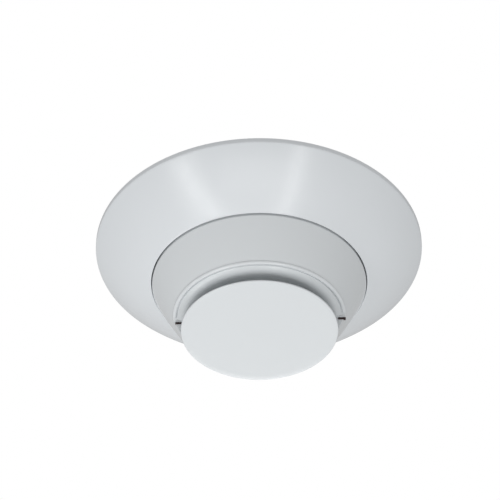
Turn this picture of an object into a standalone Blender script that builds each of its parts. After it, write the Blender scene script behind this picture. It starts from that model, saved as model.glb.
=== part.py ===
"""Low-profile heat detector: a twist-lock head in a flanged ceiling base.

Metres, +Z up. The ceiling is the plane z = 0 and the detector hangs below it, centred on the Z axis.
The air inlet's open side faces -Y. Seen from below, the head turns counter-clockwise to unlock.
"""

import math

import bmesh
import bpy
from mathutils import Matrix, Vector

SEGMENTS = 72
GAP = 0.0003
OVERLAP = 0.0008
CUT_PAST = 0.0010
FACE_STEP = 0.0001

# Base: a plate on the ceiling, a flared ring round it, and a collar that the head goes up into.
FLANGE_RADIUS = 0.0775
RIM_Z = -0.0026
RIM_EDGE = 0.0006
SOCKET_RADIUS = 0.0508
SEAM_Z = -0.0221
FLARE_BULGE = 0.00140
BASE_WALL = 0.0020
PLATE_Z = -0.0024
WIRING_RADIUS = 0.0270
RIB_COUNT = 12
RIB_WIDTH = 0.0016
SLOT_RADIUS = 0.0025
SLOT_REACH = {0: (0.0340, 0.0440), 180: (0.0340, 0.0440), 90: (0.0310, 0.0370), 270: (0.0310, 0.0370)}

# Bayonet: lugs on the head rest on ledges in the collar.
LUG_ANGLES = (60, 180, 300)
LUG_HALF_ANGLE = 8.0
LUG_RADIUS = 0.0496
LEDGE_RADIUS = 0.0469
LEDGE_TOP_Z = -0.0142
LEDGE_BOTTOM_Z = -0.0158
LEDGE_HALF_ANGLE = 9.0
LUG_TOP_Z = -0.0122
LEDGE_CLEARANCE = 0.0004
STOP_START = 8.6
STOP_END = 10.2
LEDGE_END = 10.4
STOP_TOP_Z = -0.0110

# Terminals: a spring contact on a pedestal, with a clamp plate and a screw, four times.
TERMINAL_ANGLES = (45, 135, 225, 315)
TERMINAL_RADIUS = 0.0400
PEDESTAL_Z = -0.0061
STRIP_TOP_Z = -0.0064
STRIP_BOTTOM_Z = -0.0072
STRIP_HALF_WIDTH = 0.0028
JAW_INNER = 0.0009
JAW_OUTER = 0.0016
JAW_BOTTOM_Z = -0.0108
CONTACT_START = -3.5
JAW_END = 8.0
CONTACT_END = 22.0
JAW_MARGIN = 0.2
PEDESTAL_MARGIN = 0.5
SCREW_STEP = 15.0
SCREW_TURN = 30.0
CLAMP_SIDE = 0.0064
CLAMP_TOP_Z = -0.0075
CLAMP_BOTTOM_Z = -0.0085
SCREW_HEAD_TOP_Z = -0.0088
SCREW_HEAD_BOTTOM_Z = -0.0108
SCREW_TIP_Z = -0.0028
SCREW_HEAD_RADIUS = 0.0030
SCREW_SHANK_RADIUS = 0.0015
SCREW_HOLE_RADIUS = 0.0019
DRIVE_SLOT_WIDTH = 0.0008
DRIVE_SLOT_DEPTH = 0.0007
SHANK_SINK = 0.0004

# Tamper lever: a springy tongue by one of the lugs, hinged at its root.
LEVER_INNER = 0.0476
LEVER_OUTER = 0.0496
LEVER_TOP_Z = -0.0050
LEVER_BOTTOM_Z = -0.0062
LEVER_ROOT_ANGLE = 150.0
LEVER_ROOT_SPAN = 4.0
LEVER_ROOT_GAP = 0.4
LEVER_TIP_ANGLE = 171.0
LEVER_TOOTH_ANGLES = (168.5, 170.8)
LEVER_TOOTH_Z = -0.0115

# Chassis: the head's rear housing, a cup that opens downwards.
CHASSIS_REAR_Z = -0.0120
CHASSIS_FLOOR_Z = -0.0138
CHASSIS_RADIUS = 0.0460
CHASSIS_INNER_RADIUS = 0.0442
CHASSIS_FLANGE_RADIUS = 0.0494
CHASSIS_FLANGE_TOP_Z = -0.0170
CHASSIS_FLANGE_BOTTOM_Z = -0.0202
SPIGOT_RADIUS = 0.0469
SPIGOT_Z = -0.0240

# Circuit board, its screws and what is soldered to it.
BOARD_RADIUS = 0.0434
BOARD_TOP_Z = -0.0171
BOARD_BOTTOM_Z = -0.0187
BOARD_SCREW_ANGLES = (90, 210, 330)
BOARD_SCREW_RADIUS = 0.0380
BOARD_SCREW_TURN = 20.0
BOARD_SCREW_TIP_Z = -0.0150
BOARD_HOLE_RADIUS = 0.0015
BOARD_HEAD_RADIUS = 0.0026
BOARD_HEAD_HEIGHT = 0.0016
BOARD_SHANK_RADIUS = 0.0011
BOSS_RADIUS = 0.0030
PARTS_Z = -0.0190
CONTROLLER_SIZE = (0.0070, 0.0070, 0.0010)
CONTROLLER_PLACE = (-0.0140, -0.0100)
CAPACITOR_RADIUS = 0.00315
CAPACITOR_HEIGHT = 0.0070
CAPACITOR_EDGE = 0.0004
CAPACITOR_PLACE = (0.0150, -0.0180)
REED_RADIUS = 0.0011
REED_HALF_LENGTH = 0.0050
REED_Y = -0.0360

# Blades and address switches, which reach back through the chassis.
BLADE_HALF_THICKNESS = 0.0004
BLADE_HALF_ANGLE = 4.5
BLADE_MARGIN = 0.5
BLADE_TIP_Z = -0.0082
BLADE_FOOT_TOP_Z = -0.0141
BLADE_FOOT_BOTTOM_Z = -0.0149
BLADE_FOOT_RADIUS = 0.0434
DIAL_CENTRES = {"tens": (-0.0080, 0.0150), "ones": (0.0080, 0.0150)}
DIAL_RADIUS = 0.0050
DIAL_HOLE_RADIUS = 0.0055
DIAL_GROOVE = (0.0080, 0.0012, 0.0020)
DIAL_TOP_Z = -0.0114
DIAL_BOTTOM_Z = -0.0139
DIAL_SHAFT_RADIUS = 0.0015
DIAL_SHAFT_Z = -0.0162
SWITCH_SIDE = 0.0100
SWITCH_TOP_Z = -0.0142
SWITCH_BOTTOM_Z = -0.0168

# Thermistor: a bead on two leads, held out in the air stream by a post.
BEAD_Z = -0.0450
BEAD_RADIUS = 0.0014
BEAD_STRETCH = (1.3, 1.0, 1.2)
LEAD_RADIUS = 0.00035
LEAD_SPACING = 0.0013
LEAD_SINK = 0.0002
POST_FOOT_RADIUS = 0.0067
POST_FOOT_Z = -0.0205
POST_RADIUS = 0.0042
POST_RADIUS_Z = -0.0220
POST_TIP_RADIUS = 0.0036
POST_BORE = 0.0026
POST_Z = -0.0370

# Cover: a cone from the seam to the lip, an air inlet beneath it, and a thin disc in front.
COVER_TOP_Z = -0.0206
COVER_RADIUS = 0.0499
SHOULDER_RADIUS = 0.05035
SHOULDER_Z = -0.02265
SHOULDER_HEIGHT = 0.0004
CONE_BULGE = 0.0002
LIP_CHAMFER = 0.0003
COVER_INNER_RADIUS = 0.0475
COVER_INNER_EDGE_Z = -0.0240
LIP_RADIUS = 0.04025
LIP_Z = -0.0412
SHELF_Z = -0.0421
SHELF_TOP_Z = -0.0403
SHELF_INNER_RADIUS = 0.0260
CAP_TOP_Z = -0.0490
CAP_BOTTOM_Z = -0.0503
CAP_RADIUS = 0.03645
CAP_EDGE = 0.0004
CAP_TAPER = 0.0010
INLET_ANGLES = (177.3, 358.9)
REAR_INLET_ANGLES = (37.4, 137.2)
INLET_REACH = (0.0240, 0.0600)
CHEEK_WALL = 2.8
CHEEK_POCKET = (0.0295, 0.0362)
POCKET_TOP_Z = -0.0380
POCKET_BOTTOM_Z = -0.0475

# Vent cage: the ribbed neck round the thermistor, between the shelf and the disc.
CAGE_RADIUS = 0.0254
CAGE_INNER_RADIUS = 0.0234
CAGE_FLANGE_RADIUS = 0.0285
CAGE_TOP_Z = -0.0388
CAGE_WINDOWS = 16
CAGE_WINDOW_WIDTH = 0.0062
CAGE_WINDOW_DEPTH = 0.0080
CAGE_WINDOW_TOP_Z = -0.0427
CAGE_WINDOW_BOTTOM_Z = -0.0476

# Light guides: from an indicator lamp on the board to a window in each cheek's end wall.
GUIDE_RISER = (0.0336, 0.0358)
GUIDE_FOOT = (0.0350, 0.0380)
GUIDE_TOP_Z = -0.0240
GUIDE_FOOT_TOP_Z = -0.0426
GUIDE_FOOT_BOTTOM_Z = -0.0441
GUIDE_DEPTH = 6.4
GUIDE_RISER_ANGLE = 3.6
GUIDE_SETBACK = 0.3
GUIDE_STEP = 0.2
GUIDE_ROOM = 0.6
WINDOW_PAST = 1.0
LAMP_RADIUS = 0.0015
LAMP_TIP_Z = -0.0233

WHITE_PLASTIC = (0.80, 0.81, 0.80)
GREY_PLASTIC = (0.62, 0.63, 0.63)
MATERIALS = {
    "base_plastic": (WHITE_PLASTIC, 0.45, 0.0),
    "cover_plastic": (WHITE_PLASTIC, 0.45, 0.0),
    "chassis_plastic": (GREY_PLASTIC, 0.50, 0.0),
    "contact_metal": ((0.78, 0.62, 0.32), 0.30, 1.0),
    "screw_steel": ((0.70, 0.71, 0.73), 0.30, 1.0),
    "can_aluminium": ((0.75, 0.76, 0.78), 0.35, 1.0),
    "board_laminate": ((0.03, 0.22, 0.10), 0.40, 0.0),
    "dark_plastic": ((0.03, 0.03, 0.035), 0.40, 0.0),
    "dial_plastic": ((0.85, 0.45, 0.10), 0.45, 0.0),
    "component_glass": ((0.20, 0.06, 0.03), 0.25, 0.0),
    "smoked_lens": ((0.05, 0.02, 0.02), 0.15, 0.0),
}

for leftover in list(bpy.data.objects):
    bpy.data.objects.remove(leftover, do_unlink=True)

detector = bpy.data.collections.new("heat_detector")
tools = bpy.data.collections.new("cutters")
bpy.context.scene.collection.children.link(detector)
bpy.context.scene.collection.children.link(tools)


def make_material(name):
    """A Principled material with the colour, roughness and metallic value listed for it."""
    colour, roughness, metallic = MATERIALS[name]
    material = bpy.data.materials.new(name)
    material.use_nodes = True
    shader = material.node_tree.nodes["Principled BSDF"]
    shader.inputs["Base Color"].default_value = (*colour, 1.0)
    shader.inputs["Roughness"].default_value = roughness
    shader.inputs["Metallic"].default_value = metallic
    return material


def make_tool(name, mesh):
    """A helper shape: it is joined to or cut from a piece and never shown."""
    tool = bpy.data.objects.new(name, mesh)
    tool.hide_render = True
    tool.display_type = "WIRE"
    tools.objects.link(tool)
    return tool


def mesh_of(name, shape):
    """A mesh data block from a bmesh, which is freed."""
    bmesh.ops.recalc_face_normals(shape, faces=shape.faces)
    mesh = bpy.data.meshes.new(name)
    shape.to_mesh(mesh)
    shape.free()
    return mesh


def turned(name, profile, closed=True):
    """A shape turned about Z from (radius, z) points that run down its outer side."""
    shape = bmesh.new()
    points = [shape.verts.new((radius, 0, z)) for radius, z in profile]
    for first, second in zip(points, points[1:]):
        shape.edges.new((first, second))
    if closed:
        shape.edges.new((points[-1], points[0]))
    mesh = bpy.data.meshes.new(name)
    shape.to_mesh(mesh)
    shape.free()
    tool = make_tool(name, mesh)
    screw = tool.modifiers.new("turn", "SCREW")
    screw.steps = SEGMENTS
    screw.render_steps = SEGMENTS
    screw.use_merge_vertices = True
    screw.merge_threshold = 0.00001
    return tool


def slab(name, outlines, low, high):
    """Flat outlines in plan, the later ones holes in the first, given thickness between two heights."""
    curve = bpy.data.curves.new(name, "CURVE")
    curve.dimensions = "2D"
    curve.fill_mode = "BOTH"
    curve.extrude = (high - low) / 2
    for outline in outlines:
        spline = curve.splines.new("POLY")
        spline.points.add(len(outline) - 1)
        for point, (x, y) in zip(spline.points, outline):
            point.co = (x, y, 0, 1)
        spline.use_cyclic_u = True
    guide = bpy.data.objects.new(name, curve)
    tools.objects.link(guide)
    guide.location.z = (low + high) / 2
    bpy.context.view_layer.update()
    mesh = bpy.data.meshes.new_from_object(guide.evaluated_get(bpy.context.evaluated_depsgraph_get()))
    place = guide.matrix_world.copy()
    bpy.data.objects.remove(guide)
    shape = bmesh.new()
    shape.from_mesh(mesh)
    bpy.data.meshes.remove(mesh)
    bmesh.ops.remove_doubles(shape, verts=shape.verts, dist=0.00001)
    tool = make_tool(name, mesh_of(name, shape))
    tool.matrix_world = place
    return tool


def arc(radius, start, end, step=3.0):
    """Points in plan along an arc, in degrees, both ends included."""
    count = max(1, math.ceil(abs(end - start) / step))
    angles = [math.radians(start + (end - start) * i / count) for i in range(count + 1)]
    return [(radius * math.cos(a), radius * math.sin(a)) for a in angles]


def sector(name, inner, outer, start, end, low, high):
    """A block between two radii, two angles in degrees and two heights."""
    outline = arc(outer, start, end) + arc(inner, end, start)
    return slab(name, [outline], low, high)


def circle(radius, centre=(0, 0), count=16):
    """Points in plan round a circle."""
    angles = [2 * math.pi * i / count for i in range(count)]
    return [(centre[0] + radius * math.cos(a), centre[1] + radius * math.sin(a)) for a in angles]


def rod(name, radius, centre, low, high, segments=20):
    """An upright round rod at a place in plan."""
    shape = bmesh.new()
    bmesh.ops.create_cone(
        shape, cap_ends=True, segments=segments, radius1=radius, radius2=radius, depth=high - low
    )
    middle = Vector((centre[0], centre[1], (low + high) / 2))
    bmesh.ops.translate(shape, verts=shape.verts, vec=middle)
    return make_tool(name, mesh_of(name, shape))


def block(name, size, centre, turn=0.0):
    """A box of this size, turned about Z by this many degrees, at this centre."""
    shape = bmesh.new()
    bmesh.ops.create_cube(shape, size=1.0)
    bmesh.ops.scale(shape, verts=shape.verts, vec=size)
    bmesh.ops.rotate(shape, verts=shape.verts, matrix=Matrix.Rotation(math.radians(turn), 3, "Z"))
    bmesh.ops.translate(shape, verts=shape.verts, vec=centre)
    return make_tool(name, mesh_of(name, shape))


def spot(radius, angle):
    """A place in plan at a radius and an angle in degrees."""
    return (radius * math.cos(math.radians(angle)), radius * math.sin(math.radians(angle)))


def together(name, parts):
    """Helper shapes that don't touch each other, as one helper shape."""
    bpy.context.view_layer.update()
    shape = bmesh.new()
    for part in parts:
        mesh = part.data.copy()
        mesh.transform(part.matrix_world)
        shape.from_mesh(mesh)
        bpy.data.meshes.remove(mesh)
        bpy.data.objects.remove(part)
    return make_tool(name, mesh_of(name, shape))


def combine(target, tool, operation):
    """Joins the tool to the target, or cuts it from the target."""
    modifier = target.modifiers.new(tool.name, "BOOLEAN")
    modifier.operation = operation
    modifier.solver = "EXACT"
    modifier.object = tool


def piece(source, name, material, parent, origin=(0, 0, 0)):
    """Turns a helper shape with its modifiers into a finished piece whose origin is the point given."""
    bpy.context.view_layer.update()
    evaluated = source.evaluated_get(bpy.context.evaluated_depsgraph_get())
    mesh = bpy.data.meshes.new_from_object(evaluated)
    mesh.transform(Matrix.Translation(-Vector(origin)) @ source.matrix_world)
    mesh.name = name
    mesh.materials.clear()
    mesh.materials.append(materials[material])
    mesh.shade_smooth()
    mesh.set_sharp_from_angle(angle=math.radians(30))
    bpy.data.objects.remove(source)
    finished = bpy.data.objects.new(name, mesh)
    finished.location = origin
    finished.parent = parent
    detector.objects.link(finished)
    return finished


def body(name):
    """An empty that carries the pieces that move together."""
    empty = bpy.data.objects.new(name, None)
    detector.objects.link(empty)
    return empty


def bulged(start, end, bulge, count):
    """Points (radius, z) between two points along a curve that bows outwards, ends included."""
    along = Vector(end) - Vector(start)
    outward = Vector((-along.y, along.x)).normalized()
    if outward.x < 0:
        outward = -outward
    steps = [i / count for i in range(count + 1)]
    points = [Vector(start) + along * t + outward * bulge * 4 * t * (1 - t) for t in steps]
    return [(point.x, point.y) for point in points]


def flare_inside(radius):
    """The height of the flared ring's inner surface at a radius."""
    slope = (RIM_Z - SEAM_Z) / (FLANGE_RADIUS - SOCKET_RADIUS)
    return SEAM_Z + slope * (radius - SOCKET_RADIUS) + BASE_WALL * math.hypot(1, slope)


def base_rib(index):
    """One radial rib behind the flared ring, between the collar and the rim."""
    inner = SOCKET_RADIUS + BASE_WALL / 2
    outer = FLANGE_RADIUS - BASE_WALL
    outline = [
        (inner, -OVERLAP),
        (outer, -OVERLAP),
        (outer, flare_inside(outer) - OVERLAP),
        (inner, flare_inside(inner) - OVERLAP),
    ]
    rib = slab(f"rib_{index}", [outline], -RIB_WIDTH / 2, RIB_WIDTH / 2)
    upright = Matrix.Rotation(math.radians(90), 4, "X")
    turn = Matrix.Rotation(2 * math.pi * (index + 0.5) / RIB_COUNT, 4, "Z")
    rib.matrix_world = turn @ upright @ rib.matrix_world
    return rib


def mounting_slot(angle):
    """The slot for one of the screws into the ceiling box."""
    start, end = SLOT_REACH[angle]
    right = [(end + x, y) for x, y in arc(SLOT_RADIUS, -90, 90, 22.5)]
    left = [(start + x, y) for x, y in arc(SLOT_RADIUS, 90, 270, 22.5)]
    cutter = slab(f"slot_{angle}", [right + left], PLATE_Z * 1.5, -PLATE_Z / 2)
    cutter.rotation_euler.z = math.radians(angle)
    return cutter


def make_base(parent):
    """The flanged base: plate, flared ring, collar, ribs, ledges, stops and pedestals, in one moulding."""
    flare_top = (FLANGE_RADIUS, RIM_Z)
    inner_foot = SOCKET_RADIUS + BASE_WALL
    inner_rim = FLANGE_RADIUS - BASE_WALL
    profile = [(FLANGE_RADIUS - RIM_EDGE, 0), (FLANGE_RADIUS, -RIM_EDGE)]
    profile += bulged(flare_top, (SOCKET_RADIUS, SEAM_Z), FLARE_BULGE, 6)
    profile += [(SOCKET_RADIUS, PLATE_Z), (WIRING_RADIUS, PLATE_Z), (WIRING_RADIUS, 0), (inner_foot, 0)]
    profile += bulged(
        (inner_foot, flare_inside(inner_foot)), (inner_rim, flare_inside(inner_rim)), FLARE_BULGE / 2, 3
    )
    profile += [(inner_rim, 0)]
    base = turned("mounting_base", profile)

    added = [base_rib(index) for index in range(RIB_COUNT)]
    wall = SOCKET_RADIUS + BASE_WALL / 2
    for angle in LUG_ANGLES:
        start, end = angle - LEDGE_HALF_ANGLE, angle + LEDGE_END
        added.append(
            sector(f"ledge_{angle}", LEDGE_RADIUS, wall, start, end, LEDGE_BOTTOM_Z, LEDGE_TOP_Z)
        )
    combine(base, together("base_additions", added), "UNION")

    added = []
    for angle in LUG_ANGLES:
        start, end = angle + STOP_START, angle + STOP_END
        inner, bottom = LEDGE_RADIUS + LEDGE_CLEARANCE, LEDGE_TOP_Z - OVERLAP
        added.append(sector(f"stop_{angle}", inner, wall, start, end, bottom, STOP_TOP_Z))
    for angle in TERMINAL_ANGLES:
        inner = TERMINAL_RADIUS - STRIP_HALF_WIDTH - GAP
        outer = TERMINAL_RADIUS + STRIP_HALF_WIDTH + GAP
        start = angle + CONTACT_START - PEDESTAL_MARGIN
        end = angle + CONTACT_END + 2 * PEDESTAL_MARGIN
        added.append(sector(f"pedestal_{angle}", inner, outer, start, end, PEDESTAL_Z, PLATE_Z / 2))
    root_start, root_end = LEVER_ROOT_ANGLE - LEVER_ROOT_SPAN, LEVER_ROOT_ANGLE - LEVER_ROOT_GAP
    added.append(
        sector("lever_root", LEVER_INNER, wall, root_start, root_end, LEVER_BOTTOM_Z - OVERLAP, PLATE_Z / 2)
    )
    combine(base, together("base_details", added), "UNION")

    cut = [mounting_slot(angle) for angle in SLOT_REACH]
    for angle in TERMINAL_ANGLES:
        place = spot(TERMINAL_RADIUS, angle + SCREW_STEP)
        bottom, top = PEDESTAL_Z - CUT_PAST, SCREW_TIP_Z + CUT_PAST
        cut.append(rod(f"screw_hole_{angle}", SCREW_HOLE_RADIUS, place, bottom, top, 12))
    combine(base, together("base_holes", cut), "DIFFERENCE")
    piece(base, "mounting_base", "base_plastic", parent)


def make_terminal(number, angle, parent):
    """Spring contact, clamp plate and screw of one terminal."""
    centre = TERMINAL_RADIUS
    contact = sector(
        f"strip_{number}",
        centre - STRIP_HALF_WIDTH,
        centre + STRIP_HALF_WIDTH,
        angle + CONTACT_START,
        angle + CONTACT_END,
        STRIP_BOTTOM_Z,
        STRIP_TOP_Z,
    )
    start, end = angle + CONTACT_START + JAW_MARGIN, angle + JAW_END
    top = (STRIP_TOP_Z + STRIP_BOTTOM_Z) / 2
    near = sector(f"near_{number}", centre - JAW_OUTER, centre - JAW_INNER, start, end, JAW_BOTTOM_Z, top)
    far = sector(f"far_{number}", centre + JAW_INNER, centre + JAW_OUTER, start, end, JAW_BOTTOM_Z, top)
    combine(contact, together(f"jaws_{number}", [near, far]), "UNION")
    place = spot(centre, angle + SCREW_STEP)
    hole = rod(f"strip_hole_{number}", SCREW_HOLE_RADIUS, place, STRIP_BOTTOM_Z - CUT_PAST, PEDESTAL_Z, 12)
    combine(contact, hole, "DIFFERENCE")
    piece(contact, f"terminal_contact_{number}", "contact_metal", parent)

    thickness = CLAMP_TOP_Z - CLAMP_BOTTOM_Z
    middle = (*place, (CLAMP_TOP_Z + CLAMP_BOTTOM_Z) / 2)
    clamp = block(f"clamp_{number}", (CLAMP_SIDE, CLAMP_SIDE, thickness), middle, angle + SCREW_STEP)
    bottom, top = CLAMP_BOTTOM_Z - CUT_PAST, CLAMP_TOP_Z + CUT_PAST
    clamp_hole = rod(f"clamp_hole_{number}", SCREW_HOLE_RADIUS, place, bottom, top, 12)
    combine(clamp, clamp_hole, "DIFFERENCE")
    piece(clamp, f"terminal_clamp_{number}", "screw_steel", parent)

    make_screw(
        f"terminal_screw_{number}",
        place,
        SCREW_HEAD_RADIUS,
        SCREW_SHANK_RADIUS,
        (SCREW_HEAD_BOTTOM_Z, SCREW_HEAD_TOP_Z, SCREW_TIP_Z),
        angle + SCREW_TURN,
        parent,
    )


def make_screw(name, place, head_radius, shank_radius, heights, turn, parent):
    """A slotted screw that points up: heights are the head's face, its underside and the shank's tip."""
    face, underside, tip = heights
    screw = rod(f"{name}_head", head_radius, place, face, underside, 16)
    shank = rod(f"{name}_shank", shank_radius, place, underside - SHANK_SINK, tip, 12)
    combine(screw, shank, "UNION")
    slot_size = (head_radius * 3, DRIVE_SLOT_WIDTH, 2 * DRIVE_SLOT_DEPTH)
    slot = block(f"{name}_slot", slot_size, (*place, face), turn)
    combine(screw, slot, "DIFFERENCE")
    piece(screw, name, "screw_steel", parent)


def make_tamper_lever(parent):
    """A tongue along the collar, with a tooth at its tip just above the path of a lug."""
    tongue = sector(
        "tongue", LEVER_INNER, LEVER_OUTER, LEVER_ROOT_ANGLE, LEVER_TIP_ANGLE, LEVER_BOTTOM_Z, LEVER_TOP_Z
    )
    tooth = sector(
        "tooth",
        LEVER_INNER,
        LEVER_OUTER,
        *LEVER_TOOTH_ANGLES,
        LEVER_TOOTH_Z,
        (LEVER_TOP_Z + LEVER_BOTTOM_Z) / 2,
    )
    combine(tongue, tooth, "UNION")
    place = spot((LEVER_INNER + LEVER_OUTER) / 2, LEVER_ROOT_ANGLE)
    origin = (*place, (LEVER_TOP_Z + LEVER_BOTTOM_Z) / 2)
    piece(tongue, "tamper_lever", "base_plastic", parent, origin)


def make_chassis(parent):
    """The rear housing: a cup with three lugs, bosses for the board and openings for blades and dials."""
    profile = [
        (0, CHASSIS_REAR_Z),
        (CHASSIS_RADIUS, CHASSIS_REAR_Z),
        (CHASSIS_RADIUS, CHASSIS_FLANGE_TOP_Z),
        (CHASSIS_FLANGE_RADIUS, CHASSIS_FLANGE_TOP_Z),
        (CHASSIS_FLANGE_RADIUS, CHASSIS_FLANGE_BOTTOM_Z),
        (SPIGOT_RADIUS, CHASSIS_FLANGE_BOTTOM_Z),
        (SPIGOT_RADIUS, SPIGOT_Z),
        (CHASSIS_INNER_RADIUS, SPIGOT_Z),
        (CHASSIS_INNER_RADIUS, CHASSIS_FLOOR_Z),
        (0, CHASSIS_FLOOR_Z),
    ]
    chassis = turned("head_chassis", profile, closed=False)
    added = []
    for angle in LUG_ANGLES:
        start, end = angle - LUG_HALF_ANGLE, angle + LUG_HALF_ANGLE
        inner = CHASSIS_RADIUS - OVERLAP
        added.append(sector(f"lug_{angle}", inner, LUG_RADIUS, start, end, CHASSIS_FLOOR_Z, LUG_TOP_Z))
    boss_foot = BOARD_TOP_Z + GAP
    for angle in BOARD_SCREW_ANGLES:
        place = spot(BOARD_SCREW_RADIUS, angle)
        added.append(rod(f"boss_{angle}", BOSS_RADIUS, place, boss_foot, CHASSIS_FLOOR_Z + OVERLAP, 16))
    combine(chassis, together("chassis_additions", added), "UNION")

    cut = []
    bottom, top = CHASSIS_FLOOR_Z - CUT_PAST, CHASSIS_REAR_Z + CUT_PAST
    for angle in TERMINAL_ANGLES:
        half = BLADE_HALF_ANGLE + BLADE_MARGIN
        inner = TERMINAL_RADIUS - BLADE_HALF_THICKNESS - GAP
        outer = TERMINAL_RADIUS + BLADE_HALF_THICKNESS + GAP
        cut.append(sector(f"blade_slot_{angle}", inner, outer, angle - half, angle + half, bottom, top))
    for name, centre in DIAL_CENTRES.items():
        cut.append(rod(f"dial_hole_{name}", DIAL_HOLE_RADIUS, centre, bottom, top, 24))
    for angle in BOARD_SCREW_ANGLES:
        place = spot(BOARD_SCREW_RADIUS, angle)
        hole_radius = BOARD_SHANK_RADIUS + GAP
        low = BOARD_TOP_Z - CUT_PAST
        cut.append(rod(f"boss_hole_{angle}", hole_radius, place, low, CHASSIS_FLOOR_Z, 12))
    combine(chassis, together("chassis_holes", cut), "DIFFERENCE")
    piece(chassis, "head_chassis", "chassis_plastic", parent)


def make_blade(number, angle, parent):
    """One contact blade: an upright fin that slides into the base's spring contact, on a foot."""
    inner = TERMINAL_RADIUS - BLADE_HALF_THICKNESS
    outer = TERMINAL_RADIUS + BLADE_HALF_THICKNESS
    start, end = angle - BLADE_HALF_ANGLE, angle + BLADE_HALF_ANGLE
    fin = sector(f"fin_{number}", inner, outer, start, end, BLADE_FOOT_BOTTOM_Z, BLADE_TIP_Z)
    foot = sector(
        f"foot_{number}",
        TERMINAL_RADIUS,
        BLADE_FOOT_RADIUS,
        start + BLADE_MARGIN,
        end - BLADE_MARGIN,
        BLADE_FOOT_BOTTOM_Z + FACE_STEP,
        BLADE_FOOT_TOP_Z,
    )
    combine(fin, foot, "UNION")
    piece(fin, f"contact_blade_{number}", "contact_metal", parent)


def make_board(parent):
    """The circuit board, its three screws and the parts soldered to it."""
    outlines = [circle(BOARD_RADIUS, count=64)]
    for angle in BOARD_SCREW_ANGLES:
        outlines.append(circle(BOARD_HOLE_RADIUS, spot(BOARD_SCREW_RADIUS, angle), 12))
    board = slab("board", outlines, BOARD_BOTTOM_Z, BOARD_TOP_Z)
    piece(board, "circuit_board", "board_laminate", parent)
    for number, angle in enumerate(BOARD_SCREW_ANGLES, 1):
        heights = (PARTS_Z - BOARD_HEAD_HEIGHT, PARTS_Z, BOARD_SCREW_TIP_Z)
        place = spot(BOARD_SCREW_RADIUS, angle)
        name = f"board_screw_{number}"
        turn = angle + BOARD_SCREW_TURN
        make_screw(name, place, BOARD_HEAD_RADIUS, BOARD_SHANK_RADIUS, heights, turn, parent)

    middle = (*CONTROLLER_PLACE, PARTS_Z - CONTROLLER_SIZE[2] / 2)
    controller = block("controller", CONTROLLER_SIZE, middle)
    piece(controller, "microcontroller", "dark_plastic", parent)

    capacitor = rod("can", CAPACITOR_RADIUS, CAPACITOR_PLACE, PARTS_Z - CAPACITOR_HEIGHT, PARTS_Z, 20)
    bevel = capacitor.modifiers.new("edge", "BEVEL")
    bevel.width = CAPACITOR_EDGE
    bevel.segments = 2
    piece(capacitor, "capacitor", "can_aluminium", parent)

    reed = turned("reed", reed_profile(REED_RADIUS, REED_HALF_LENGTH), closed=False)
    place = Matrix.Translation((0, REED_Y, PARTS_Z - REED_RADIUS))
    reed.matrix_world = place @ Matrix.Rotation(math.radians(90), 4, "Y")
    reed.modifiers["turn"].steps = 12
    reed.modifiers["turn"].render_steps = 12
    piece(reed, "reed_switch", "component_glass", parent)


def reed_profile(radius, half_length):
    """Half the outline of a glass tube with round ends, top to bottom."""
    angles = [math.radians(30 * i) for i in range(1, 4)]
    top = [(radius * math.sin(a), half_length - radius + radius * math.cos(a)) for a in angles]
    bottom = [(r, -z) for r, z in reversed(top)]
    return [(0, half_length)] + top + bottom + [(0, -half_length)]


def make_address_switch(name, switch_parent, dial_parent):
    """One rotary address switch: a body on the board and a dial that is turned from behind the head."""
    centre = DIAL_CENTRES[name]
    middle = (*centre, (SWITCH_TOP_Z + SWITCH_BOTTOM_Z) / 2)
    switch = block(f"switch_{name}", (SWITCH_SIDE, SWITCH_SIDE, SWITCH_TOP_Z - SWITCH_BOTTOM_Z), middle)
    bottom, top = DIAL_SHAFT_Z - GAP, SWITCH_TOP_Z + CUT_PAST
    bore = rod(f"bore_{name}", DIAL_SHAFT_RADIUS + GAP, centre, bottom, top, 16)
    combine(switch, bore, "DIFFERENCE")
    piece(switch, f"address_switch_{name}", "dark_plastic", switch_parent)

    dial = rod(f"disc_{name}", DIAL_RADIUS, centre, DIAL_BOTTOM_Z, DIAL_TOP_Z, 24)
    shaft = rod(f"shaft_{name}", DIAL_SHAFT_RADIUS, centre, DIAL_SHAFT_Z, DIAL_BOTTOM_Z + OVERLAP, 16)
    combine(dial, shaft, "UNION")
    groove = block(f"groove_{name}", DIAL_GROOVE, (*centre, DIAL_TOP_Z))
    combine(dial, groove, "DIFFERENCE")
    origin = (*centre, DIAL_BOTTOM_Z)
    piece(dial, f"address_dial_{name}", "dial_plastic", dial_parent, origin)


def make_thermistor(parent):
    """The sensing bead on its two leads, and the post that guides the leads down from the board."""
    leads = []
    for side in (-1, 1):
        place = (side * LEAD_SPACING, 0)
        leads.append(rod(f"lead_{side}", LEAD_RADIUS, place, BEAD_Z - LEAD_SINK, PARTS_Z, 8))
    leads = together("leads", leads)
    shape = bmesh.new()
    bmesh.ops.create_uvsphere(shape, u_segments=16, v_segments=10, radius=BEAD_RADIUS)
    bmesh.ops.scale(shape, verts=shape.verts, vec=BEAD_STRETCH)
    bmesh.ops.translate(shape, verts=shape.verts, vec=(0, 0, BEAD_Z))
    bead = make_tool("bead", mesh_of("bead", shape))
    combine(bead, leads, "UNION")
    piece(bead, "thermistor", "component_glass", parent)

    profile = [
        (POST_BORE, PARTS_Z),
        (POST_FOOT_RADIUS, PARTS_Z),
        (POST_FOOT_RADIUS, POST_FOOT_Z),
        (POST_RADIUS, POST_RADIUS_Z),
        (POST_TIP_RADIUS, POST_Z),
        (POST_BORE, POST_Z),
    ]
    post = turned("post", profile)
    post.modifiers["turn"].steps = 24
    post.modifiers["turn"].render_steps = 24
    piece(post, "thermistor_post", "dark_plastic", parent)


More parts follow.
